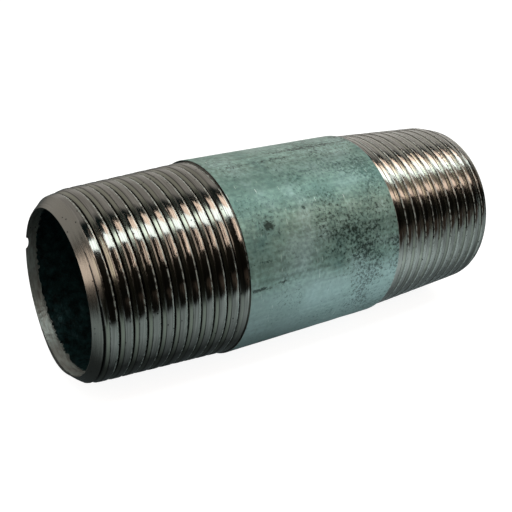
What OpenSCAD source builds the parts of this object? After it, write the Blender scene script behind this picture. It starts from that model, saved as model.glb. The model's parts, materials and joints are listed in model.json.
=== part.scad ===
// Threaded pipe nipple: a short length of galvanised steel pipe with a taper
// pipe thread cut on both ends. Millimetres.
// X runs along the pipe, Y across it and Z up; the pipe lies on its side with
// the origin on its centre line, half way along.

/* [Pipe] */
// Outside diameter of the bare steel pipe
pipe_od = 33.4; // [26:0.1:48]
// Thickness of the pipe wall
wall_t = 3.38; // [3:0.01:4.5]
// Length from rim to rim
pipe_len = 81; // [60:1:300]

/* [Thread] */
// Threads in one inch of length
threads_per_inch = 11.5; // [9:0.5:18]
// Length of each threaded end, from the rim to the plain pipe
thread_len = 25.2; // [16:0.1:28]
// Length over which the thread grows by 1 on its diameter
taper_run = 10; // [8:1:24]
// Width of the flat left on the crest of the thread
crest_flat = 1.0; // [0.1:0.05:1.1]
// Width of the flat at the root of the thread
root_flat = 0.35; // [0.05:0.05:0.5]
// Tilt of each flank from a plane square to the axis
flank_angle = 30; // [27:0.5:35]
// Turns over which the thread runs out next to the plain pipe
runout_turns = 1.25; // [0.5:0.25:2]
// Step down from the plain pipe to the last crest of the thread
shoulder = 0.2; // [0.02:0.01:0.3]

/* [Rims] */
// Angle of the bevel round each rim, from the axis
bevel_angle = 38; // [30:1:50]
// Width of the flat land left on the rim
rim_land = 0.08; // [0.05:0.01:0.3]
// How far the reamer opened the bore at the rim, on the radius
ream_depth = 0.08; // [0.04:0.01:0.3]
// Length that the reamer cut, from the rim inwards
ream_len = 1.6; // [0.8:0.1:4]

/* [Zinc] */
// Thickness of the galvanised coat
coat_t = 0.08; // [0.05:0.01:0.2]

/* [Hidden] */
$fn = 96;

inch = 25.4;
pitch = inch / threads_per_inch;
pipe_r = pipe_od / 2;
bore_r = pipe_r - wall_t;
half_len = pipe_len / 2;
plain_len = pipe_len - 2 * thread_len;
taper = 1 / (2 * taper_run);

// Depth of the thread, from its two flats and the tilt of its flanks
flank_run = (pitch - crest_flat - root_flat) / 2;
thread_depth = flank_run / tan(flank_angle);

// Rim, reamed mouth and bevel
ream_r = bore_r + ream_depth;
rim_r = ream_r + rim_land;
crest_end_r = pipe_r - shoulder - thread_len * taper;
bevel_len = (crest_end_r - rim_r) / (tan(bevel_angle) - taper);

// Each threaded end is a shell of flat facets over a round core. They
// overlap inside the wall: the core's neck and the shell's inner face lie
// between the bore and the root of the thread.
turn_steps = 36;
root_end_r = crest_end_r - thread_depth;
shell_r = bore_r + (root_end_r - bore_r) / 4;
neck_r = bore_r + (root_end_r - bore_r) / 2;
neck_start = ream_len - 0.2;
neck_lip = 0.2;
mouth_gap = 0.01;
shell_overlap = 1;
shell_len = thread_len + shell_overlap;
neck_full = ream_len + bevel_len;
outer_flat = 1 / cos(180 / turn_steps);

// Where one turn of the thread changes slope, and whether it is down in the
// groove there: end of one crest, both sides of the root, start of the next
thread_corners = [
    [0, false],
    [flank_run, true],
    [flank_run + root_flat, true],
    [pitch - crest_flat, false]
];
corners = len(thread_corners);
turns = ceil(shell_len / pitch) + 3;
row = turns * corners;
inner_points = 4;
ring = row + inner_points;

// Radius of the bevel and of the thread's crest, at a distance from the rim
function bevel_r(x) = rim_r + x * tan(bevel_angle);
function crest_r(x) = pipe_r - shoulder - max(thread_len - x, 0) * taper;

// How much of the full depth the groove has, as it runs out at the plain pipe
function runout(x) = min(1, max(0, (thread_len - x) / (runout_turns * pitch)));

// Radius of the threaded surface at a distance from the rim
function thread_r(x, in_groove) =
    min(bevel_r(x), crest_r(x) - (in_groove ? thread_depth * runout(x) : 0));

// A point at a distance along the axis, a radius and an angle round the axis
function on_pipe(x, r, angle) = [x, r * cos(angle), r * sin(angle)];

// The points at one angle: along the thread from the rim inwards, moved on
// by the helix, then back along the inside from the plain pipe to the mouth
function thread_row(step) =
    let (angle = step * 360 / turn_steps)
    concat(
        [for (turn = [0 : turns - 1], c = thread_corners)
            let (
                helix_x = (turn - 1 + step / turn_steps) * pitch + c[0],
                x = min(max(helix_x, 0), shell_len)
            )
            on_pipe(x, thread_r(x, c[1]), angle)],
        [
            on_pipe(shell_len, shell_r * outer_flat, angle),
            on_pipe(neck_full, shell_r * outer_flat, angle),
            on_pipe(ream_len, (bore_r + mouth_gap) * outer_flat, angle),
            on_pipe(0, ream_r * outer_flat, angle)
        ]
    );

// Two triangles between point i of one row and point j of the next
function facets(a, i, b, j, next_i, next_j) =
    [[a + i, a + next_i, b + j], [b + j, a + next_i, b + next_j]];

// The facets of the thread. Where the rows close round the pipe, the helix
// has moved on by one turn, so the last row meets the first one turn along.
function thread_facets() = [
    for (step = [0 : turn_steps - 1])
        let (
            closing = step == turn_steps - 1,
            a = step * ring,
            b = closing ? corners : a + ring
        )
        for (i = [0 : row - 2 - (closing ? corners : 0)])
            each facets(a, i, b, i, i + 1, i + 1)
];

// The facets of the inside, the end within the wall and the rim
function inner_facets() = [
    for (step = [0 : turn_steps - 1])
        let (a = step * ring, b = (step + 1) % turn_steps * ring)
        for (i = [row - 1 : ring - 1])
            let (next = (i + 1) % ring)
            each facets(a, i, b, i, next, next)
];

// The outside of one threaded end, right-handed, from the rim at x = 0
module threaded_shell() {
    polyhedron(
        points = [for (step = [0 : turn_steps - 1]) each thread_row(step)],
        faces = concat(thread_facets(), inner_facets())
    );
}

// Turns a shape drawn round Z so that it lies along X
module along_x() {
    rotate([0, 90, 0]) children();
}

// Plain pipe with a true round bore, necked down inside each threaded end
module pipe_core() {
    along_x() rotate_extrude() polygon([
        [bore_r, -half_len + neck_start],
        [bore_r + neck_lip, -half_len + neck_start],
        [neck_r, -half_len + neck_full],
        [neck_r, -half_len + thread_len],
        [pipe_r, -half_len + thread_len],
        [pipe_r, half_len - thread_len],
        [neck_r, half_len - thread_len],
        [neck_r, half_len - neck_full],
        [bore_r + neck_lip, half_len - neck_start],
        [bore_r, half_len - neck_start]
    ]);
}

// A tube that is hollow all the way, centred on the origin
module sleeve(outer_r, inner_r, length) {
    along_x() rotate_extrude() polygon([
        [inner_r, -length / 2],
        [outer_r, -length / 2],
        [outer_r, length / 2],
        [inner_r, length / 2]
    ]);
}

// The steel: one piece of pipe with a taper thread cut on each end
module steel_pipe() {
    color([0.36, 0.34, 0.32]) union() {
        pipe_core();
        for (turned = [0, 180])
            rotate([0, 0, turned]) translate([-half_len, 0, 0]) threaded_shell();
    }
}

// The zinc that is left outside, between the two threads
module outer_zinc_coat() {
    color([0.50, 0.58, 0.55]) sleeve(pipe_r + coat_t, pipe_r, plain_len);
}

// The zinc inside, between the two reamed mouths
module bore_zinc_coat() {
    color([0.10, 0.15, 0.14]) sleeve(bore_r, bore_r - coat_t, pipe_len - 2 * ream_len);
}

steel_pipe();
outer_zinc_coat();
bore_zinc_coat();
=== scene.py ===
"""Looks of a threaded pipe nipple: a short galvanised steel pipe, threaded on both ends.

The pipe was galvanised first, and both ends were then turned, threaded and reamed. So the
threads, the bevels and the mouths are bare cut steel with a film of oil left on it, and the plain
barrel and the bore keep their zinc. X runs along the pipe, Z is up, and the pipe lies on its side.
"""

import json
import logging
import math
from dataclasses import dataclass, field
from enum import Enum
from typing import Any

import bpy
import numpy as np
from mathutils import Matrix, Vector


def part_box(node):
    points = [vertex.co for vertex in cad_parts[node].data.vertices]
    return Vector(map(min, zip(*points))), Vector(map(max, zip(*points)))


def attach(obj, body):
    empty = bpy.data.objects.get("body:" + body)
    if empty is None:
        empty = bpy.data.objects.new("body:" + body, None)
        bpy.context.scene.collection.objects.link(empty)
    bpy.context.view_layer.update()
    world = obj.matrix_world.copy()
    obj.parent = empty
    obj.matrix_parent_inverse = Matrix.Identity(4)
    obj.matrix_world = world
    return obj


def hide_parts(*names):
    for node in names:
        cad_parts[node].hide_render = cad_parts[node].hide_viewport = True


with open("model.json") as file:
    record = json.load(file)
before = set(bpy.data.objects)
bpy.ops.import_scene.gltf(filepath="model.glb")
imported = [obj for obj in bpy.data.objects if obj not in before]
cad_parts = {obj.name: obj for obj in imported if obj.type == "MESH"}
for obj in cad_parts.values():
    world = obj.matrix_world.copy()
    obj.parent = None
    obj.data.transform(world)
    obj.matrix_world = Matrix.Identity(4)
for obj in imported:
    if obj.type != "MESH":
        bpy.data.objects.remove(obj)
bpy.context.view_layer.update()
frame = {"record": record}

MM = 0.001
TURN = 2.0 * math.pi
INCH = 25.4
BODY = "root"
# Corners that turn by more than this stay sharp.
SHARP_CORNER = math.radians(24)
# Points whose millimetres agree to this many places are one point.
SAME_PLACES = 5
log = logging.getLogger("nipple")

Array = np.ndarray
Colour = tuple[float, float, float, float]
Value = bpy.types.NodeSocket | float | int | tuple[float, ...]
Stops = tuple[tuple[float, str | float], ...]


class Side(Enum):
    """Which end of the pipe a piece is on, as the sign of its X."""

    LEFT = -1
    RIGHT = 1


class Slot(Enum):
    """The record's material slots."""

    STEEL = "cut_steel"
    OUTER_ZINC = "outer_zinc"
    BORE_ZINC = "bore_zinc"


# ---------------------------------------------------------------- small helpers


def linear(colour: str) -> Colour:
    """Turns an sRGB hex colour into Blender's linear colour.

    Args:
        colour: six hex digits, such as "8899aa".

    Returns:
        Red, green, blue and an alpha of 1.
    """
    parts = [int(colour[i : i + 2], 16) / 255 for i in (0, 2, 4)]
    red, green, blue = (c / 12.92 if c <= 0.04045 else ((c + 0.055) / 1.055) ** 2.4 for c in parts)
    return (red, green, blue, 1.0)


def rise(value: Array, low: float, high: float) -> Array:
    """Rises from 0 at low to 1 at high along a cubic that is flat at both ends."""
    t = np.clip((value - low) / (high - low), 0.0, 1.0)
    return t * t * (3.0 - 2.0 * t)


def polar(along: Array, radius: Array, angle: Array) -> Array:
    """Places at a distance along X, a radius and an angle from Y towards Z."""
    return np.stack(
        np.broadcast_arrays(along, radius * np.cos(angle), radius * np.sin(angle)), axis=-1
    )


@dataclass(frozen=True)
class Ripple:
    """A seeded sum of cosine waves over the pipe's surface, with a spread of about 1.

    Each wave has a whole number of periods round the pipe, so that it closes on itself, and
    any wavelength along the pipe from the shortest to so many times that.
    """

    seed: int
    waves: int
    most_round: int
    shortest_mm: float
    longest: float = 4.0

    def at(self, along: Array, angle: Array) -> Array:
        """Height of the ripple.

        Args:
            along: distance along the pipe in millimetres.
            angle: angle round the pipe in radians.

        Returns:
            The sum of the waves over the root of half their number.
        """
        rng = np.random.default_rng(self.seed)
        total = np.zeros(np.broadcast(along, angle).shape)
        for _ in range(self.waves):
            periods = rng.integers(-self.most_round, self.most_round + 1)
            rate = TURN / (self.shortest_mm * rng.uniform(1.0, self.longest))
            total += np.cos(periods * angle + rate * along + rng.uniform(0.0, TURN))
        return total / math.sqrt(self.waves / 2)


FACING_WANDER = Ripple(5, 14, 7, 1.3)
CHATTER = Ripple(11, 30, 26, 2.4)
TORN_EDGE = Ripple(17, 24, 70, 1.2)
REAMER_MARKS = Ripple(23, 40, 120, 1.1)
BURR_PATCHES = Ripple(29, 30, 90, 1.0)
RAGGED_END = Ripple(31, 30, 60, 30.0)
SLOW_LUMPS = Ripple(37, 20, 9, 6.0)
FAST_LUMPS = Ripple(41, 40, 40, 1.5)


# ---------------------------------------------------------------- sizes


@dataclass(frozen=True)
class PipeSizes:
    """Sizes of the pipe and its zinc in millimetres."""

    half_length: float
    steel_radius: float
    bore_radius: float
    zinc_radius: float
    lining_radius: float
    plain_half: float
    lining_half: float

    @classmethod
    def from_frame(cls) -> "PipeSizes":
        """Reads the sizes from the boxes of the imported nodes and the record's mounts.

        Returns:
            The sizes.
        """
        steel, coat, lining = (
            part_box(node)[1] / MM for node in ("steel_pipe", "outer_zinc_coat", "bore_zinc_coat")
        )
        bore = next(m for m in frame["record"]["mounts"] if m["name"] == "through_bore")
        return cls(
            half_length=steel.x,
            steel_radius=steel.z,
            bore_radius=lining.z,
            zinc_radius=coat.z,
            lining_radius=bore["dims"]["r_mm"],
            plain_half=coat.x,
            lining_half=lining.x,
        )

    @property
    def thread_length(self) -> float:
        """Length of one threaded end, from the rim to the plain barrel."""
        return self.half_length - self.plain_half

    @property
    def ream_length(self) -> float:
        """Length of the reamed mouth, from the rim to the zinc lining."""
        return self.half_length - self.lining_half


@dataclass(frozen=True)
class ThreadForm:
    """The taper thread in millimetres: wide crests, and narrow grooves with one steep side.

    Each crest is slightly crowned, and the side of the groove that faces the rim has a shelf
    half way up, where the worn die rubbed.

    Attributes:
        crown: how far the crest's edges lie below its middle.
        edge: how much further the very edge of the crest is rounded off.
        lead: how much lower the first crest starts at the rim, and over what length.
        shelf: where across the groove the shelf begins, is full, starts to end, and ends.
        crest_rows: rows of points across one crest.
        profile: places across the groove from the end of one crest to the start of the next,
        each with its depth as a share of the full depth, and its share of oil and painted shade.
    """

    pitch: float = INCH / 11.5
    depth: float = 0.64
    taper: float = 1 / 20
    shoulder: float = 0.2
    runout_turns: float = 1.25
    crown: float = 0.030
    edge: float = 0.03
    lead: tuple[float, float] = (0.85, 4.5)
    shelf: tuple[float, float, float, float] = (0.38, 0.46, 0.86, 0.94)
    crest_rows: int = 11
    # The third number of each point is its share of oil and painted shade: the shade darkens the
    # deep groove and the thin line beside the next crest.
    profile: tuple[tuple[float, float, float], ...] = (
        (0.00, 0.00, 0.2),
        (0.03, 0.25, 0.8),
        (0.08, 0.80, 1.0),
        (0.14, 1.00, 1.0),
        (0.23, 0.92, 1.0),
        (0.33, 0.62, 0.9),
        (0.43, 0.44, 0.3),
        (0.64, 0.31, 0.05),
        (0.88, 0.20, 0.1),
        (0.95, 0.10, 0.9),
        (1.04, 0.00, 0.1),
    )

    @property
    def groove_width(self) -> float:
        """Width of the whole groove at the crest."""
        return self.profile[-1][0]

    def stations(self) -> Array:
        """Finds where rows of points run within one pitch.

        Returns:
            The groove's corners and, across the crest, places on a sine, which lie closer
            together towards its edges.
        """
        place = np.sin(np.linspace(-0.5, 0.5, self.crest_rows + 2) * math.pi)[1:-1]
        half = (self.pitch - self.groove_width) / 2
        crest = self.groove_width + half * (1 + place)
        return np.concatenate([[row[0] for row in self.profile], crest])

    def groove(self, phase: Array) -> tuple[Array, Array]:
        """Share of depth, and of oil and painted shade: straight lines between the profile's
        points.
        """
        places, depths, oil_and_shade = np.array(self.profile).T
        return np.interp(phase, places, depths), np.interp(phase, places, oil_and_shade, right=0.0)

    def crest_drop(self, along: Array, left: Array, share: Array) -> Array:
        """How far the crest lies below the pipe: shoulder, taper and a share of the lead."""
        drop, length = self.lead
        return self.shoulder + left * self.taper + share * drop * np.clip(1 - along / length, 0, 1)

    def crest_place(self, phase: Array) -> Array:
        """Place across a crest, from -1 at one edge to 1 at the other, and 0 off the crest."""
        place = 2 * (phase - self.groove_width) / (self.pitch - self.groove_width) - 1
        return np.where(phase > self.groove_width, place, 0.0)


# ---------------------------------------------------------------- meshes


def ring_quads(columns: int, ring: int) -> Array:
    """Quads of a tube whose columns are closed rings, with index column * ring + row.

    Args:
        columns: number of angles round the pipe.
        ring: number of points in the closed outline at each angle.

    Returns:
        Quads in the shape (columns, ring, 4), wound to face outwards.
    """
    here = np.arange(columns)[:, None] * ring
    there = (np.arange(columns)[:, None] + 1) % columns * ring
    row, after = np.arange(ring)[None, :], (np.arange(ring)[None, :] + 1) % ring
    return np.stack([here + row, there + row, there + after, here + after], axis=-1)


@dataclass
class Shape:
    """Points in millimetres, faces, and named numbers for the points."""

    points: Array
    quads: Array
    values: dict[str, Array] = field(default_factory=dict)

    def merged(self) -> tuple[Array, list[list[int]], dict[str, Array]]:
        """Merges points that share a place, and drops the faces that vanish with them.

        A quad that loses one corner becomes a triangle, and one that loses more is left out.

        Returns:
            The points that are kept, the faces, and the named numbers of those points.
        """
        rounded = np.round(self.points, SAME_PLACES)
        _, first, index = np.unique(rounded, axis=0, return_index=True, return_inverse=True)
        quads = index.reshape(-1)[self.quads]
        same = quads == np.roll(quads, -1, axis=1)
        lost = same.sum(axis=1)
        triangles = quads[lost == 1][~same[lost == 1]].reshape(-1, 3)
        faces = quads[lost == 0].tolist() + triangles.tolist()
        return self.points[first], faces, {k: v[first] for k, v in self.values.items()}


def make_piece(
    name: str, shape: Shape, node: str, material: bpy.types.Material
) -> bpy.types.Object:
    """Makes an object at the origin that rides on the pipe and stands for a CAD node.

    Args:
        name: the object's name.
        shape: its closed shape in millimetres.
        node: the CAD node that it stands for.
        material: the finish of every face.

    Returns:
        The new object, smooth shaded with its sharp corners kept.
    """
    points, faces, values = shape.merged()
    mesh = bpy.data.meshes.new(name)
    mesh.from_pydata((points * MM).tolist(), [], faces)
    for key, numbers in values.items():
        mesh.attributes.new(key, "FLOAT", "POINT").data.foreach_set(
            "value", numbers.astype(np.float32)
        )
    mesh.materials.append(material)
    mesh.shade_smooth()
    mesh.set_sharp_from_angle(angle=SHARP_CORNER)
    piece = bpy.data.objects.new(name, mesh)
    bpy.context.scene.collection.objects.link(piece)
    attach(piece, BODY)
    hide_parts(node)
    log.info("%s: %d points, %d faces", name, len(points), len(faces))
    return piece


@dataclass
class ThreadedEnd:
    """One bare steel end: thread, bevel, rim and reamed mouth, closed where the barrel begins.

    Its shape is drawn for the left end, in distances from the rim inwards. The right end is the
    same shape turned half a turn about Z, which keeps the thread right-handed. Lengths are in
    millimetres and angles in radians, unless a line says otherwise.

    Attributes:
        steps: columns of points round the pipe.
        bevel_tilt: angle of the bevel from the axis.
        ridges: height, spacing and phase of each set of ridges left by the facing tool.
        wander: height of the bevel's slow unevenness.
        smooth_rim: distance from the rim over which ridges and unevenness grow.
        chatter: height of the die's chatter on the crests.
        torn: depth of the torn places along the crests' edges.
        burr_edge: where across the crest its burred edge begins and is full.
        burr_patches: heights of the ripple at which a burred patch begins and is full.
        least_burr: how much burr the edge has between the burred patches.
        least_oil_and_shade: share of the oil and painted shade that is left where the groove has
            run out.
        ream_rows: rows of points along the reamed mouth.
        lip: how far the round bore is drawn beyond the reamed mouth.
        marks: height of the reamer's marks.
        marks_in: shares of the reamed length where the marks begin and are full.
        marks_out: shares of the reamed length where they start to end, and end.
        start_turn: how far the thread is turned on at the rim, in turns.
        off_centre: how far the mouth lies off the axis, towards off_towards.
        heel: how much thicker the rim is at heel_at, falling off within heel_width.
        dents: middle and half width of each nick in the rim in degrees, and its depth.
        dent_fade: distance from the rim within which a nick fades.
    """

    side: Side
    sizes: PipeSizes
    form: ThreadForm
    steps: int = 360
    bevel_tilt: float = math.radians(43.0)
    rim_land: float = 0.08
    ridges: tuple[tuple[float, float, float], ...] = ((0.009, 0.37, 0.0), (0.006, 0.23, 1.0))
    wander: float = 0.010
    smooth_rim: float = 0.4
    chatter: float = 0.006
    torn: float = 0.018
    burr_edge: tuple[float, float] = (0.62, 0.74)
    burr_patches: tuple[float, float] = (-0.6, 0.6)
    least_burr: float = 0.35
    least_oil_and_shade: float = 0.4
    ream_depth: float = 0.08
    ream_rows: int = 14
    lip: float = 0.6
    marks: float = 0.014
    marks_in: tuple[float, float] = (0.02, 0.2)
    marks_out: tuple[float, float] = (0.85, 1.0)
    start_turn: float = 0.0
    off_centre: float = 0.0
    off_towards: float = math.radians(300.0)
    heel: float = 0.0
    heel_at: float = math.radians(288.0)
    heel_width: float = math.radians(25.0)
    dents: tuple[tuple[float, float, float], ...] = ()
    dent_fade: float = 1.0

    @property
    def ream_radius(self) -> float:
        """Inner radius of the rim."""
        return self.sizes.bore_radius + self.ream_depth

    def bevel(self, along: Array, angle: Array) -> Array:
        """Radius of the bevel.

        It is a cone, plus a heel that falls off as a bell curve round the rim, plus the shallow
        ridges left by the facing tool, each a cosine along the axis.

        Args:
            along: distance from the rim in millimetres.
            angle: angle round the pipe in radians.

        Returns:
            The radius in millimetres.
        """
        ridges = sum(high * np.cos(TURN * along / gap + at) for high, gap, at in self.ridges)
        wander = self.wander * FACING_WANDER.at(along, angle)
        away = (angle - self.heel_at + math.pi) % TURN - math.pi
        thick = self.rim_land + self.heel * np.exp(-((away / self.heel_width) ** 2))
        cone = self.ream_radius + thick + along * math.tan(self.bevel_tilt)
        grown = rise(along, 0.0, self.smooth_rim)
        return cone + self.shifted(angle) + grown * (ridges + wander)

    def shifted(self, angle: Array) -> Array:
        """How far the reamed mouth, which isn't quite central, lies out at an angle."""
        return self.off_centre * np.cos(angle - self.off_towards)

    def outside(self, along: Array, angle: Array) -> tuple[Array, dict[str, Array]]:
        """The threaded surface.

        Its radius is the lesser of the bevel and the thread. The thread is the cone of the
        crests, less the groove, less a crown that rounds each crest off, with small torn
        places along the crest's edges and a slow chatter round the pipe.

        Args:
            along: distance from the rim in millimetres.
            angle: angle round the pipe in radians.

        Returns:
            The radius, and shares from 0 to 1: how much oil and painted shade it has, and where the
            bevel, the burred edge of the crest and the shelf beside the groove are.
        """
        form, length = self.form, self.sizes.thread_length
        phase = (along - (angle / TURN + self.start_turn) * form.pitch) % form.pitch
        left = length - along
        fades = np.clip(left / (form.runout_turns * form.pitch), 0.0, 1.0)
        deep, oil_and_shade = form.groove(phase)
        place = form.crest_place(phase)
        lead = 0.5 + 0.5 * np.sin(angle)
        crest = self.sizes.steel_radius - form.crest_drop(along, left, lead)
        torn = np.abs(TORN_EDGE.at(along, angle)) * place**8
        chatter = self.chatter * CHATTER.at(along, angle)
        rounded = form.crown * place**2 + form.edge * np.abs(place) ** 12
        thread = crest - form.depth * deep * fades - rounded - self.torn * torn + chatter
        bevel = self.bevel(along, angle)
        radius = np.minimum(np.minimum(bevel, thread), self.sizes.steel_radius)
        on_bevel = bevel < thread
        patches = rise(BURR_PATCHES.at(along, angle), *self.burr_patches)
        patches = self.least_burr + (1 - self.least_burr) * patches
        burr = rise(place, *self.burr_edge) * patches
        shelf = rise(phase, *form.shelf[:2]) * (1 - rise(phase, *form.shelf[2:])) * fades
        oil_and_shade = oil_and_shade * (self.least_oil_and_shade + (1 - self.least_oil_and_shade) * fades)
        shares = {
            "oil_and_shade": np.where(on_bevel, 0.0, oil_and_shade),
            "bevel": on_bevel.astype(float),
            "burr": np.where(on_bevel, 0.0, burr),
            "shelf": np.where(on_bevel, 0.0, shelf),
        }
        return radius, shares

    def pushed_back(self, along: Array, angle: Array) -> Array:
        """How far blows have pushed the rim inwards.

        Each nick is half an ellipse round the rim, and fades with distance from the rim.

        Args:
            along: distance from the rim in millimetres.
            angle: angle round the pipe in radians.

        Returns:
            The distance along the axis in millimetres.
        """
        back = np.zeros(np.broadcast(along, angle).shape)
        for middle, width, depth in self.dents:
            off = (angle - math.radians(middle) + math.pi) % TURN - math.pi
            back += depth * np.clip(1 - (off / math.radians(width)) ** 2, 0, 1) ** 0.5
        return back * rise(-along, -self.dent_fade, 0.0)

    def mouth(self, angle: Array) -> tuple[Array, Array]:
        """The bore of this end, from the barrel out to the rim.

        The reamed band is a slight cone with short tool marks across it.

        Args:
            angle: angle round the pipe in radians.

        Returns:
            Distances from the rim, and radii.
        """
        sizes = self.sizes
        ream = np.linspace(sizes.ream_length, 0.0, self.ream_rows)
        along = np.concatenate([[sizes.thread_length, sizes.ream_length + self.lip], ream])
        cut = 1 - np.clip(along / sizes.ream_length, 0, 1)
        marks = self.marks * REAMER_MARKS.at(along[None, :], angle)
        ending, ended = self.marks_out
        marks = marks * rise(cut, *self.marks_in) * rise(-cut, -ended, -ending)
        shift = self.shifted(angle) * cut
        radius = sizes.bore_radius + self.ream_depth * cut + marks + shift
        return np.broadcast_to(along[None, :], radius.shape), radius

    def build(self, material: bpy.types.Material) -> bpy.types.Object:
        """Makes the closed mesh of this end.

        Each column of points is one angle. Its thread rows lie at the stations of every
        pitch, moved on by the helix, and rows that would pass either end are held there and
        merged. Where the columns close round the pipe, the last column meets the first one
        turn further along. The column then runs back along the bore to the rim.

        Args:
            material: the finish of the cut steel.

        Returns:
            The piece.
        """
        form, sizes = self.form, self.sizes
        stations = form.stations()
        per_turn = len(stations)
        turns = np.arange(-1, math.ceil(sizes.thread_length / form.pitch) + 2)
        angle = (np.arange(self.steps) * TURN / self.steps)[:, None]
        lattice = (turns[:, None] * form.pitch + stations[None, :]).reshape(1, -1)
        along = lattice + (angle / TURN + self.start_turn) * form.pitch
        along = np.clip(along, 0.0, sizes.thread_length)
        radius, shares = self.outside(along, angle)
        inner_along, inner_radius = self.mouth(angle)
        rows = along.shape[1]

        x = np.concatenate([along, inner_along], axis=1)
        r = np.concatenate([radius, inner_radius], axis=1)
        points = polar(x + self.pushed_back(x, angle), r, angle).reshape(-1, 3)
        ring = x.shape[1]
        quads = ring_quads(self.steps, ring)
        shift = np.arange(rows - 1)
        kept = shift < rows - 1 - per_turn
        last = quads[-1]
        last[shift[kept], 1] += per_turn
        last[shift[kept], 2] += per_turn
        last[shift[~kept], 1] = last[shift[~kept], 2] = rows - 1
        values = {
            key: np.concatenate([share, 0 * inner_radius], axis=1).reshape(-1)
            for key, share in shares.items()
        }
        mouth = [np.zeros(radius.shape), np.ones(inner_radius.shape)]
        values["mouth"] = np.concatenate(mouth, axis=1).reshape(-1)
        points[:, 0] -= sizes.half_length
        if self.side is Side.RIGHT:
            points[:, :2] *= -1
        shape = Shape(points, quads.reshape(-1, 4), values)
        name = f"{self.side.name.lower()}_threaded_end"
        return make_piece(name, shape, "steel_pipe", material)


@dataclass
class Sleeve:
    """A closed tube centred on the origin, whose skins and ends may wander a little.

    The outer skin sinks by up to outer_wander, the inner skin grows inwards by up to
    inner_wander, and the ends draw back by up to end_wander, all in millimetres.

    Attributes:
        slow_share: how much of the outer skin's unevenness is slow.
        full_lump: height of a ripple, in spreads, that counts as the whole wander.
        full_rag: the same for the ripple of the ends.
        end_ring: where along the ripple each end reads it, so that the two ends differ.
        steps: columns of points round the pipe.
        rows: rows of points along one skin.
    """

    name: str
    node: str
    slot: Slot
    half_length: float
    inner_radius: float
    outer_radius: float
    outer_wander: float = 0.0
    inner_wander: float = 0.0
    end_wander: float = 0.0
    slow_share: float = 0.7
    full_lump: float = 3.0
    full_rag: float = 2.5
    end_ring: float = 9.0
    steps: int = 240
    rows: int = 120

    def build(self, material: bpy.types.Material) -> bpy.types.Object:
        """Makes the tube: the outer skin one way along, and the inner skin back.

        A slow and a fast ripple, made positive, mixed and cut off at 1, give the share of the
        wander at each point.

        Args:
            material: the finish of the tube.

        Returns:
            The piece.
        """
        angle = (np.arange(self.steps) * TURN / self.steps)[:, None]
        level = np.linspace(-self.half_length, self.half_length, self.rows)[None, :]
        ragged = np.abs(RAGGED_END.at(np.sign(level) * self.end_ring, angle))
        drawn = np.clip(ragged / self.full_rag, 0, 1) * self.end_wander
        along = level * (1 - drawn / self.half_length)
        slow = np.abs(SLOW_LUMPS.at(level, angle)) / self.full_lump
        fast = np.abs(FAST_LUMPS.at(level, angle)) / self.full_lump
        dips = np.clip(self.slow_share * slow + (1 - self.slow_share) * fast, 0, 1)
        lumps = np.clip(0.5 * slow + 0.5 * fast, 0, 1)
        outer = self.outer_radius - self.outer_wander * dips
        inner = self.inner_radius - self.inner_wander * lumps
        x = np.concatenate([along, along[:, ::-1]], axis=1)
        r = np.concatenate([outer, inner[:, ::-1]], axis=1)
        points = polar(x, r, angle).reshape(-1, 3)
        shape = Shape(points, ring_quads(self.steps, x.shape[1]).reshape(-1, 4))
        return make_piece(self.name, shape, self.node, material)


# ---------------------------------------------------------------- finishes


class Tree:
    """Writes one node tree from its first node."""

    def __init__(self, tree: bpy.types.NodeTree) -> None:
        """Empties the tree and keeps it."""
        tree.nodes.clear()
        self.tree = tree

    def add(
        self,
        kind: str,
        inputs: dict[str | int, Value] | None = None,
        stops: Stops = (),
        out: str | int = 0,
        **settings: Any,
    ) -> bpy.types.NodeSocket:
        """Adds a node with its settings, values and links.

        Args:
            kind: the node's type name without "ShaderNode".
            inputs: a value or another node's output for each input's name or number.
            stops: for a colour ramp, its places with a hex colour or a grey number.
            out: name or number of the output that is wanted.
            settings: the node's own properties.

        Returns:
            The output that is wanted, or the node itself where it has none.
        """
        node = self.tree.nodes.new("ShaderNode" + kind)
        for key, value in settings.items():
            setattr(node, key, value)
        if stops:
            elements = node.color_ramp.elements
            for _ in stops[2:]:
                elements.new(1.0)
            for element, (place, colour) in zip(elements, stops):
                element.position = place
                grey = isinstance(colour, (int, float))
                element.color = (colour,) * 3 + (1.0,) if grey else linear(colour)
        for key, value in (inputs or {}).items():
            if isinstance(value, bpy.types.NodeSocket):
                self.tree.links.new(value, node.inputs[key])
            else:
                node.inputs[key].default_value = value
        return node.outputs[out] if len(node.outputs) else node

    @classmethod
    def of_material(cls, name: str) -> tuple[bpy.types.Material, "Tree"]:
        """Makes a material with an empty tree.

        Args:
            name: the material's name.

        Returns:
            The material and the writer of its tree.
        """
        material = bpy.data.materials.new(name)
        material.use_nodes = True
        return material, cls(material.node_tree)


def per_mm(size: float) -> float:
    """Scale of a pattern whose features are a size in millimetres."""
    return 1 / (size * MM)


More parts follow.
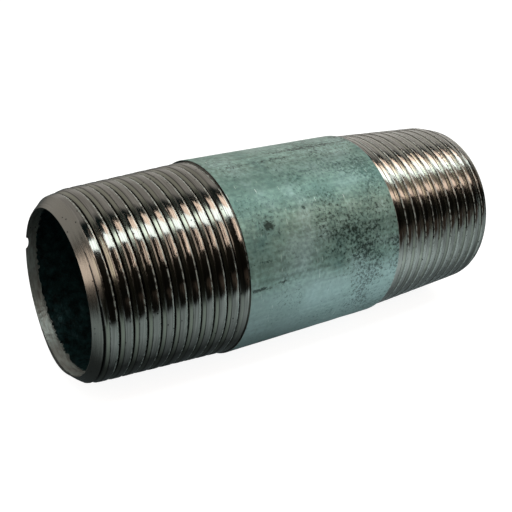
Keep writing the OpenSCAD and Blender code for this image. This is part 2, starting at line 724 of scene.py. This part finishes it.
@dataclass(frozen=True)
class CutSteel:
    """Plain carbon steel, turned and cut by a die, with a film of cutting oil.

    The tools leave fine lines round the pipe, so the crests mirror the room in bright and dark
    bars with ragged edges. The flanks are rougher, and oil and painted shade darken the grooves.

    Attributes:
        line_mm: gap between the lines. The real ones are a few hundredths of a millimetre
            apart, too fine to show, so they are drawn coarser.
        line_run: scale of the slow change across the lines, one in about 11 mm.
        drag_mm: length of the die's short drags round the pipe.
        drag_gap_mm: gap between the drags along the pipe, also drawn coarser than the real one.
        pit_mm: distance from one pit to the next where they are thickest.
        pit_from: a cell has a pit where its random number is above this.
        pit_size: radius of a pit, as a share of its cell.
        line_roughness: how much roughness the lines add at most.
        rougher: how much roughness each named part of the surface adds.
        torn: how much less each named part mirrors, because it is torn and scatters light.
        bump_mm: height of the lines and drags.
    """

    bright: str = "928f89"
    dull: str = "6f6c67"
    oily_shade: str = "201f1d"
    shelf: str = "87877a"
    burr: str = "9ba09a"
    bevel: str = "85827b"
    crest_roughness: float = 0.08
    line_roughness: float = 0.08
    line_mm: float = 0.2
    line_run: float = 90.0
    drag_mm: float = 2.0
    drag_gap_mm: float = 0.4
    pit_mm: float = 0.9
    pit_from: float = 0.52
    pit_size: float = 0.13
    pit: str = "080807"
    rougher: tuple[tuple[str, float], ...] = (
        ("oil_and_shade", 0.12),
        ("shelf", 0.07),
        ("bevel", 0.14),
        ("burr", 0.35),
        ("mouth", 0.35),
    )
    torn: tuple[tuple[str, float], ...] = (("burr", 0.65), ("mouth", 0.25))
    bump_mm: float = 0.03

    def make(self) -> bpy.types.Material:
        """Builds the material.

        Returns:
            The finish of the bare steel.
        """
        material, t = Tree.of_material("die_cut_steel")
        place = t.add("TexCoord", out="Object")
        shares = {
            name: t.add("Attribute", attribute_name=name, out="Fac")
            for name in ("oil_and_shade", "bevel", "mouth", "burr", "shelf")
        }

        # Lines round the pipe: fine along X and slow across it.
        run = (self.line_run, self.line_run)
        fine = t.add("Mapping", {"Vector": place, "Scale": (per_mm(self.line_mm),) + run})
        lines = t.add("TexNoise", {"Vector": fine, "Scale": 1.0, "Detail": 3.0, "Roughness": 0.6})
        # Short drags of the die: a fraction of a millimetre along the pipe, longer round it.
        across = per_mm(self.drag_mm)
        gap = per_mm(self.drag_gap_mm)
        short = t.add("Mapping", {"Vector": place, "Scale": (gap, across, across)})
        drags = t.add("TexNoise", {"Vector": short, "Scale": 1.0, "Detail": 4.0, "Roughness": 0.6})

        # Pits: small black spots in a few of the cells.
        cell = t.add("TexVoronoi", {"Vector": place, "Scale": per_mm(self.pit_mm)}, out="Color")
        near = t.add("TexVoronoi", {"Vector": place, "Scale": per_mm(self.pit_mm)}, out="Distance")
        chosen = t.add("Math", {0: cell, 1: self.pit_from}, operation="GREATER_THAN")
        spot = t.add("Math", {0: near, 1: self.pit_size}, operation="LESS_THAN")
        pit = t.add("Math", {0: chosen, 1: spot}, operation="MULTIPLY")

        colour = t.add("ValToRGB", {0: lines}, ((0.3, self.dull), (0.7, self.bright)))
        # The reamer's marks on the mouth: light burred streaks on dull steel.
        streaks = t.add("MapRange", {0: drags, 1: 0.38, 2: 0.6, 3: 0.15, 4: 1.0})
        marks = t.add("Math", {0: shares["mouth"], 1: streaks}, operation="MULTIPLY")
        # The oil layer is partly painted shade: it darkens the deep parts of the grooves, where
        # shade falls.
        layers = (
            (shares["bevel"], self.bevel),
            (shares["shelf"], self.shelf),
            (shares["oil_and_shade"], self.oily_shade),
            (shares["burr"], self.burr),
            (marks, self.burr),
            (pit, self.pit),
        )
        for share, layer in layers:
            mix = {0: share, 6: colour, 7: linear(layer)}
            colour = t.add("Mix", mix, data_type="RGBA", out=2)

        least = {0: lines, 1: self.line_roughness, 2: self.crest_roughness}
        rough = t.add("Math", least, operation="MULTIPLY_ADD")
        for name, more in self.rougher:
            rough = t.add("Math", {0: shares[name], 1: more, 2: rough}, operation="MULTIPLY_ADD")

        mirror = 1.0
        for name, less in self.torn:
            mirror = t.add("Math", {0: shares[name], 1: -less, 2: mirror}, operation="MULTIPLY_ADD")

        height = t.add("Math", {0: drags, 1: 0.8, 2: lines}, operation="MULTIPLY_ADD")
        bump = t.add("Bump", {"Height": height, "Strength": 0.7, "Distance": self.bump_mm * MM})
        shader = t.add(
            "BsdfPrincipled",
            {"Base Color": colour, "Metallic": mirror, "Roughness": rough, "Normal": bump},
        )
        t.add("OutputMaterial", {"Surface": shader})
        return material


@dataclass(frozen=True)
class HotDipZinc:
    """Hot-dip galvanising, dulled by a thin grey-green film.

    It looks satin and cloudy, greener where the film is thicker, with dark specks of dirt that
    crowd towards one end, faint drawing lines along the pipe, and a few bright scratches.

    Attributes:
        underside_light: the paler colour of the underside, painted light from the floor below.
        cloud_mm: width of the film's clouds.
        speck_mm: width of a speck of dirt.
        grain_mm: width of the mottling. The real grain is finer, and is drawn this coarse so
            that it shows.
        line_mm: gap between the drawing lines, also drawn coarser than the real ones.
        line_run: scale of the slow change along the drawing lines, one in about 17 mm.
        crowd_mm: width of the crowds that the specks gather in.
        scratch_mm: width and length of a scratch.
        scratch_from: heights of the scratches' noise at which one begins and is full.
        line_shade: darkest and lightest that the drawing lines make the film.
        grain_shade: darkest and lightest that the mottling makes it.
        half_mm: half length of the barrel.
        drift: how much more or less dirt there is at its left and its right end.
        crowding: how strongly the specks gather.
        dirt_from: levels at which a speck begins and is full.
        dirt_cover: how much of the zinc a speck hides.
        shade_band_cover: how far the band of painted shade changes the zinc at its middle.
        underside_light_mm: heights at which the underside's painted light begins and is full.
        underside_light_cover: how far it changes the zinc.
        metallic: how metallic it is. The dull film over the zinc lets little of it show.
        specular: how strongly the film reflects.
        bump_mm: height of the mottling.
        stains: X in mm, angle above the horizon in front in degrees, half length in mm, half
            width in degrees, and how far it draws the specks of dirt together.
        shade_band: the middle and the upper edge of a band of painted shade, a darker colour where
            the
        window's reflection falls, as angles above the horizon in front in degrees.
    """

    pale: str = "98afad"
    green: str = "7a948b"
    deep: str = "577673"
    # Painted shade: the darker colour of the band high on the front.
    thick: str = "456865"
    shade_band: tuple[float, float] = (54.0, 72.0)
    underside_light: str = "a2b5b4"
    dirt: str = "0a120f"
    roughness: float = 0.42
    scratched: str = "dfe8e5"
    cloud_mm: float = 9.0
    speck_mm: float = 0.5
    grain_mm: float = 0.7
    line_mm: float = 0.7
    line_run: float = 60.0
    crowd_mm: float = 7.0
    scratch_mm: tuple[float, float] = (0.14, 3.0)
    scratch_from: tuple[float, float] = (0.76, 0.80)
    line_shade: tuple[float, float] = (0.84, 1.14)
    grain_shade: tuple[float, float] = (0.76, 1.22)
    half_mm: float = 15.0
    drift: tuple[float, float] = (-0.02, 0.07)
    crowding: float = 0.35
    dirt_from: tuple[float, float] = (0.75, 0.88)
    dirt_cover: float = 0.85
    shade_band_cover: float = 0.55
    underside_light_mm: tuple[float, float] = (1.5, -2.7)
    underside_light_cover: float = 0.6
    metallic: float = 0.35
    specular: float = 0.15
    bump_mm: float = 0.06
    stains: tuple[tuple[float, float, float, float, float], ...] = (
        (-10.3, 33.0, 1.0, 3.2, 0.24),
        (-2.9, 38.6, 0.65, 2.1, 0.24),
        (11.8, 57.5, 5.5, 9.0, 0.12),
        (5.0, 22.0, 8.0, 18.0, 0.08),
        (8.0, -12.0, 4.5, 36.0, 0.07),
        (-13.6, -0.5, 3.0, 1.6, 0.30),
        (-9.6, 0.8, 1.6, 1.0, 0.25),
        (-12.0, 14.0, 4.5, 1.4, 0.16),
        (-4.0, 76.0, 9.0, 3.0, 0.10),
        (5.0, 84.0, 7.0, 3.0, 0.10),
    )

    def make(self) -> bpy.types.Material:
        """Builds the material.

        Returns:
            The finish of the barrel.
        """
        material, t = Tree.of_material("hot_dip_zinc")
        place = t.add("TexCoord", out="Object")
        axis, back, up = (t.add("SeparateXYZ", {0: place}, out=way) for way in range(3))
        clouds = t.add(
            "TexNoise",
            {"Vector": place, "Scale": per_mm(self.cloud_mm), "Detail": 6.0, "Roughness": 0.62},
        )
        tones = ((0.3, self.pale), (0.52, self.green), (0.75, self.deep))
        film = t.add("ValToRGB", {0: clouds}, tones)
        # Drawing lines along the pipe: slow along X, fine across it.
        fine = per_mm(self.line_mm)
        long = t.add("Mapping", {"Vector": place, "Scale": (self.line_run, fine, fine)})
        draw = t.add("TexNoise", {"Vector": long, "Scale": 1.0, "Detail": 3.0})
        grain = t.add("TexNoise", {"Vector": place, "Scale": per_mm(self.grain_mm), "Detail": 4.0})
        dark, light = self.line_shade
        lined = t.add("MapRange", {0: draw, 1: 0.35, 2: 0.65, 3: dark, 4: light})
        dark, light = self.grain_shade
        mottled = t.add("MapRange", {0: grain, 1: 0.36, 2: 0.64, 3: dark, 4: light})
        shade = t.add("Math", {0: lined, 1: mottled}, operation="MULTIPLY")
        zinc = t.add(
            "Mix", {0: 1.0, 6: film, 7: shade}, data_type="RGBA", blend_type="MULTIPLY", out=2
        )
        # Specks of dirt, in crowds that grow towards the far end of the barrel.
        specks = t.add(
            "TexNoise",
            {"Vector": place, "Scale": per_mm(self.speck_mm), "Detail": 5.0, "Roughness": 0.75},
        )
        crowd = t.add("TexNoise", {"Vector": place, "Scale": per_mm(self.crowd_mm), "Detail": 2.0})
        end = self.half_mm * MM
        left, right = self.drift
        more = t.add("MapRange", {0: axis, 1: -end, 2: end, 3: left, 4: right})
        level = t.add("Math", {0: crowd, 1: self.crowding, 2: more}, operation="MULTIPLY_ADD")
        level = t.add("Math", {0: level, 1: specks}, operation="ADD")
        # Stains: at each, the share 1 - (dx / length)^2 - (da / width)^2, where above zero.
        front = t.add("Math", {0: back, 1: -1.0}, operation="MULTIPLY")
        turn = t.add("Math", {0: up, 1: front}, operation="ARCTAN2")
        for middle, height, length, width, strength in self.stains:
            ends = {1: middle * MM, 2: (middle + length) * MM}
            sides = {1: math.radians(height), 2: math.radians(height + width)}
            beside = t.add("MapRange", {0: axis, **ends}, clamp=False)
            over = t.add("MapRange", {0: turn, **sides}, clamp=False)
            share = t.add("Math", {0: beside, 1: beside}, operation="MULTIPLY")
            share = t.add("Math", {0: over, 1: over, 2: share}, operation="MULTIPLY_ADD")
            share = t.add("Math", {0: 1.0, 1: share}, operation="SUBTRACT", use_clamp=True)
            level = t.add("Math", {0: share, 1: strength, 2: level}, operation="MULTIPLY_ADD")
        low, high = self.dirt_from
        dirty = t.add("MapRange", {0: level, 1: low, 2: high, 3: 0.0, 4: self.dirt_cover})
        zinc = t.add("Mix", {0: dirty, 6: zinc, 7: linear(self.dirt)}, data_type="RGBA", out=2)
        # Painted shade: a darker band runs along the pipe, high on the front, where the window's
        # reflection falls. Its share falls as the square of the angle from its middle.
        low, high = (math.radians(angle) for angle in self.shade_band)
        off = t.add("MapRange", {0: turn, 1: low, 2: high}, clamp=False)
        share = t.add("Math", {0: off, 1: off}, operation="MULTIPLY")
        fall = {0: share, 1: -self.shade_band_cover, 2: self.shade_band_cover}
        share = t.add("Math", fall, operation="MULTIPLY_ADD", use_clamp=True)
        zinc = t.add("Mix", {0: share, 6: zinc, 7: linear(self.thick)}, data_type="RGBA", out=2)
        # Painted light: the zinc is paler towards the underside, as if lit from the floor below.
        begins, full = (height * MM for height in self.underside_light_mm)
        fade = {0: up, 1: begins, 2: full, 3: 0.0, 4: self.underside_light_cover}
        underside_light = t.add("MapRange", fade, interpolation_type="SMOOTHSTEP")
        clean = t.add("Math", {0: dirty, 1: -0.8, 2: 1.0}, operation="MULTIPLY_ADD")
        underside_light = t.add("Math", {0: underside_light, 1: clean}, operation="MULTIPLY")
        zinc = t.add("Mix", {0: underside_light, 6: zinc, 7: linear(self.underside_light)}, data_type="RGBA", out=2)
        # Scratches: a few short bright marks across the pipe.
        width, length = (per_mm(size) for size in self.scratch_mm)
        across = t.add("Mapping", {"Vector": place, "Scale": (width, length, length)})
        scratch = t.add("TexNoise", {"Vector": across, "Scale": 1.0, "Detail": 1.0})
        low, high = self.scratch_from
        bright = t.add("MapRange", {0: scratch, 1: low, 2: high})
        marked = {0: bright, 6: zinc, 7: linear(self.scratched)}
        zinc = t.add("Mix", marked, data_type="RGBA", out=2)
        bump = t.add("Bump", {"Height": grain, "Strength": 0.5, "Distance": self.bump_mm * MM})
        rough = t.add("MapRange", {0: clouds, 3: self.roughness - 0.08, 4: self.roughness + 0.1})
        shader = t.add(
            "BsdfPrincipled",
            {
                "Base Color": zinc,
                "Metallic": self.metallic,
                "Roughness": rough,
                "Specular IOR Level": self.specular,
                "Normal": bump,
            },
        )
        t.add("OutputMaterial", {"Surface": shader})
        return material


@dataclass(frozen=True)
class BoreZinc:
    """The zinc inside the bore, lumpy where it ran and froze. Its darker, near-black colour is
    painted shade deep in the bore, and its teal on the lumps is painted glints.

    Attributes:
        lump_mm: width of a run of zinc.
        bump_mm: height of a run of zinc.
    """

    # Painted shade: near black, for the shade deep in the bore.
    dark: str = "070c0b"
    teal: str = "29494a"
    roughness: float = 0.35
    metallic: float = 0.6
    lump_mm: float = 1.2
    bump_mm: float = 0.2

    def make(self) -> bpy.types.Material:
        """Builds the material.

        Returns:
            The finish of the bore.
        """
        material, t = Tree.of_material("bore_zinc")
        place = t.add("TexCoord", out="Object")
        lumps = t.add(
            "TexNoise",
            {"Vector": place, "Scale": per_mm(self.lump_mm), "Detail": 5.0, "Roughness": 0.7},
        )
        # Painted shade and glints: near black between the lumps, and teal on their tops.
        colour = t.add("ValToRGB", {0: lumps}, ((0.35, self.dark), (0.7, self.teal)))
        bump = t.add("Bump", {"Height": lumps, "Strength": 0.8, "Distance": self.bump_mm * MM})
        shader = t.add(
            "BsdfPrincipled",
            {
                "Base Color": colour,
                "Metallic": self.metallic,
                "Roughness": self.roughness,
                "Normal": bump,
            },
        )
        t.add("OutputMaterial", {"Surface": shader})
        return material


# ---------------------------------------------------------------- studio


@dataclass(frozen=True)
class SoftBox:
    """A glowing strip that runs along the pipe, faces its axis and doesn't show itself.

    Attributes:
        height: angle of its middle above the horizon in front, in degrees round the axis.
        spread: angle that it covers, in degrees round the axis.
        start: X of its left end, in metres.
        end: X of its right end, in metres.
        glow: how bright its face looks, where 1 is white.
    """

    name: str
    height: float
    spread: float
    start: float
    end: float
    colour: str
    glow: float
    distance: float = 1.0

    def light(self) -> None:
        """Adds the strip as an area light. Its power is its glow times pi times its area."""
        light = bpy.data.lights.new(self.name, "AREA")
        light.shape = "RECTANGLE"
        light.size = self.end - self.start
        light.size_y = 2 * self.distance * math.tan(math.radians(self.spread / 2))
        light.color = linear(self.colour)[:3]
        light.energy = self.glow * math.pi * light.size * light.size_y
        turn = math.radians(self.height)
        back = Vector((0.0, -math.cos(turn), math.sin(turn)))
        side = Vector((1.0, 0.0, 0.0))
        strip = bpy.data.objects.new(self.name, light)
        facing = Matrix((side, back.cross(side), back)).transposed().to_4x4()
        middle = back * self.distance + side * (self.start + self.end) / 2
        strip.matrix_world = Matrix.Translation(middle) @ facing
        strip.visible_camera = False
        bpy.context.scene.collection.objects.link(strip)


@dataclass
class Studio:
    """A pale floor, a dim room and soft boxes.

    Attributes:
        sheet: colour of the sheet that the pipe mirrors.
        bench: colour of the bench beyond it.
        brown: colour of the bench towards the right.
        slant: how far the sheet's edge moves for each metre towards the right.
        edge_mm: distances in front at which the sheet starts to end, and ends.
        brown_slope: X over the distance in front, where the brown begins and is full.
        span_mm: X between which the sheet's brightness changes.
        levels: half the sheet's brightness at shares of that span.
        dark_mm: X between which the shade under the pipe changes.
        darkest: brightness that is left in the shade at those two places.
        shade_mm: distances in front between which the shade ends.
        tones: the room's colours round the axis, from straight behind below, under, in front,
            over and back again.
        rise_by: how far the tones move towards the right, in radians.
    """

    floor_height: float
    half_size: float = 1.5
    sheet: str = "cfe3e6"
    bench: str = "1e1d19"
    brown: str = "5b5047"
    slant: float = -0.10
    edge_mm: tuple[float, float] = (42.0, 58.0)
    brown_slope: tuple[float, float] = (0.10, 0.26)
    span_mm: tuple[float, float] = (-30.0, 70.0)
    levels: Stops = ((0.24, 0.42), (0.34, 0.85), (0.7, 0.8), (0.84, 0.42))
    dark_mm: tuple[float, float] = (-25.0, 5.0)
    darkest: tuple[float, float] = (0.08, 0.16)
    shade_mm: tuple[float, float] = (12.5, 25.0)
    tones: Stops = (
        (0.0, "77746e"),
        (0.25, "1b1a17"),
        (0.50, "12130f"),
        (0.58, "24211b"),
        (0.66, "3a332b"),
        (0.74, "0d2324"),
        (0.772, "0f2829"),
        (0.797, "e0deda"),
        (0.95, "e6e3de"),
        (1.0, "8f8c86"),
    )
    rise_by: float = -0.25
    boxes: tuple[SoftBox, ...] = (
        SoftBox("window", 67.5, 14.0, -0.6, 0.66, "e6f3f4", 5.5),
        SoftBox("warm_edge", 81.5, 14.0, 0.16, 0.66, "ffe7d6", 3.4),
        SoftBox("warm_wall", 45.5, 26.0, 0.38, 0.66, "ffe7d6", 3.3),
        SoftBox("far_window", 79.0, 15.0, 0.66, 1.8, "e6f3f4", 7.6),
        SoftBox("far_edge", 92.0, 11.0, 0.66, 1.8, "ffe7d6", 5.2),
        SoftBox("far_shade", 61.0, 18.0, 0.66, 1.8, "e0d2bf", 0.8),
        SoftBox("far_wall", 46.0, 12.0, 0.66, 1.8, "ffe7d6", 3.4),
        SoftBox("cream_wall", 52.0, 50.0, -6.0, -0.78, "fbe9dc", 2.4),
    )

    def floor(self) -> None:
        """Lays the floor: white to look at, and a grey sheet on a dark bench in reflections."""
        mesh = bpy.data.meshes.new("floor")
        s = self.half_size
        mesh.from_pydata(
            [(x * s, y * s, self.floor_height) for x, y in ((-1, -1), (1, -1), (1, 1), (-1, 1))],
            [],
            [(0, 1, 2, 3)],
        )
        material, t = Tree.of_material("pale_floor")
        place = t.add("TexCoord", out="Object")
        right, back = (t.add("SeparateXYZ", {0: place}, out=way) for way in range(2))
        front = t.add("Math", {0: back, 1: -1.0}, operation="MULTIPLY")
        # The sheet ends on a slant in front of the pipe. Beyond it the bench is black, and
        # brown towards the right.
        edge = t.add("Math", {0: right, 1: self.slant, 2: front}, operation="MULTIPLY_ADD")
        near, far = (distance * MM for distance in self.edge_mm)
        ends = {0: edge, 1: near, 2: far, 3: 1.0, 4: 0.0}
        sheet = t.add("MapRange", ends, interpolation_type="SMOOTHSTEP")
        slope = t.add("Math", {0: right, 1: front}, operation="DIVIDE")
        low, high = self.brown_slope
        brown = t.add("MapRange", {0: slope, 1: low, 2: high})
        mix = {0: brown, 6: linear(self.bench), 7: linear(self.brown)}
        bench = t.add("Mix", mix, data_type="RGBA", out=2)
        mix = {0: sheet, 6: bench, 7: linear(self.sheet)}
        colour = t.add("Mix", mix, data_type="RGBA", out=2)
        # The sheet is brighter to the right, and dark where the pipe shades it.
        start, end = (distance * MM for distance in self.span_mm)
        across = t.add("MapRange", {0: right, 1: start, 2: end})
        level = t.add("ValToRGB", {0: across}, self.levels)
        level = t.add("Math", {0: level, 1: 2.0}, operation="MULTIPLY")
        start, end = (distance * MM for distance in self.dark_mm)
        left_end, right_end = self.darkest
        least = t.add("MapRange", {0: right, 1: start, 2: end, 3: left_end, 4: right_end})
        near, far = (distance * MM for distance in self.shade_mm)
        shade = t.add("MapRange", {0: front, 1: near, 2: far, 3: least, 4: 1.0})
        level = t.add("Math", {0: level, 1: shade}, operation="MULTIPLY")
        mirrored = t.add("Emission", {0: colour, 1: level})
        white = t.add("BsdfDiffuse", {0: linear("8a8a8a")})
        glow = t.add("Emission", {0: linear("ffffff"), 1: 0.92})
        seen = t.add("AddShader", {0: white, 1: glow})
        camera = t.add("LightPath", out="Is Camera Ray")
        surface = t.add("MixShader", {0: camera, 1: mirrored, 2: seen})
        t.add("OutputMaterial", {"Surface": surface})
        mesh.materials.append(material)
        floor = bpy.data.objects.new("floor", mesh)
        bpy.context.scene.collection.objects.link(floor)

    def room(self) -> None:
        """Paints the room: dark below and in front, and pale overhead and behind."""
        world = bpy.data.worlds.new("dim_room")
        world.use_nodes = True
        bpy.context.scene.world = world
        t = Tree(world.node_tree)
        sky = t.add("TexCoord", out="Generated")
        right, back, up = (t.add("SeparateXYZ", {0: sky}, out=way) for way in range(3))
        front = t.add("Math", {0: back, 1: -1.0}, operation="MULTIPLY")
        angle = t.add("Math", {0: up, 1: front}, operation="ARCTAN2")
        # Towards the right the same tones lie a little higher.
        higher = t.add("MapRange", {0: right, 1: 0.45, 2: 0.70, 3: 0.0, 4: self.rise_by})
        angle = t.add("Math", {0: angle, 1: higher}, operation="ADD")
        turned = t.add("MapRange", {0: angle, 1: -math.pi, 2: math.pi})
        tone = t.add("ValToRGB", {0: turned}, self.tones)
        camera = t.add("LightPath", out="Is Camera Ray")
        colour = t.add("Mix", {0: camera, 6: tone, 7: linear("ffffff")}, data_type="RGBA", out=2)
        # The room is brighter towards the right.
        level = t.add("MapRange", {0: right, 1: 0.3, 2: 0.75, 3: 0.85, 4: 1.15})
        level = t.add("Mix", {0: camera, 2: level, 3: 1.0})
        glow = t.add("Background", {0: colour, 1: level})
        t.add("OutputWorld", {"Surface": glow})

    def build(self) -> None:
        """Builds the floor, the room and the soft boxes."""
        self.floor()
        self.room()
        for box in self.boxes:
            box.light()
        bpy.context.scene.view_settings.view_transform = "Standard"


@dataclass(frozen=True)
class Viewpoint:
    """Where the camera stands: seen from the front, a little to the left and from above."""

    aim_mm: tuple[float, float, float] = (-2.95, 0.65, -2.6)
    distance_mm: float = 153.3
    azimuth: float = math.radians(33.466)
    elevation: float = math.radians(21.880)
    lens_mm: float = 59.97
    sensor_mm: float = 36.0
    nearest: float = 0.005

    def place(self) -> None:
        """Adds the camera, looking along a line turned from +Y towards +X, then down."""
        level = math.cos(self.elevation)
        ahead = (math.sin(self.azimuth) * level, math.cos(self.azimuth) * level)
        forward = Vector((*ahead, -math.sin(self.elevation)))
        camera = bpy.data.objects.new("camera", bpy.data.cameras.new("camera"))
        camera.data.lens = self.lens_mm
        camera.data.sensor_width = self.sensor_mm
        camera.data.clip_start = self.nearest
        camera.location = (Vector(self.aim_mm) - forward * self.distance_mm) * MM
        camera.rotation_mode = "QUATERNION"
        camera.rotation_quaternion = forward.to_track_quat("-Z", "Y")
        bpy.context.scene.collection.objects.link(camera)
        bpy.context.scene.camera = camera


def main() -> None:
    """Builds every piece, the studio and the camera."""
    logging.basicConfig(level=logging.INFO, format="%(name)s: %(message)s")
    sizes = PipeSizes.from_frame()
    deep = ThreadForm()
    # The right thread's grooves look faint and wide, so they are drawn shallow.
    shallow = ThreadForm(
        depth=0.12,
        crown=0.022,
        # The third numbers are shares of oil and painted shade.
        profile=(
            (0.00, 0.00, 0.0),
            (0.05, 0.50, 0.1),
            (0.12, 1.00, 0.2),
            (0.22, 0.85, 0.1),
            (0.45, 0.50, 0.0),
            (0.80, 0.22, 0.0),
            (1.04, 0.00, 0.0),
        ),
    )
    steel = CutSteel().make()
    zinc = HotDipZinc().make()
    lining = BoreZinc().make()

    nicks = ((17.0, 5.0, 0.45), (262.0, 3.0, 0.15))
    ThreadedEnd(Side.LEFT, sizes, deep, off_centre=0.35, heel=0.95, dents=nicks).build(steel)
    ThreadedEnd(Side.RIGHT, sizes, shallow, start_turn=0.3).build(steel)
    Sleeve(
        name="steel_barrel",
        node="steel_pipe",
        slot=Slot.STEEL,
        half_length=sizes.plain_half,
        inner_radius=sizes.bore_radius,
        outer_radius=sizes.steel_radius,
        rows=24,
    ).build(steel)
    Sleeve(
        name="barrel_zinc",
        node="outer_zinc_coat",
        slot=Slot.OUTER_ZINC,
        half_length=sizes.plain_half,
        inner_radius=sizes.steel_radius,
        outer_radius=sizes.zinc_radius,
        outer_wander=0.05,
    ).build(zinc)
    Sleeve(
        name="bore_lining",
        node="bore_zinc_coat",
        slot=Slot.BORE_ZINC,
        half_length=sizes.lining_half,
        inner_radius=sizes.lining_radius,
        outer_radius=sizes.bore_radius,
        inner_wander=0.25,
        end_wander=0.5,
        rows=200,
    ).build(lining)

    Studio(floor_height=-sizes.zinc_radius * MM).build()
    Viewpoint().place()


if __name__ == "__main__":
    main()
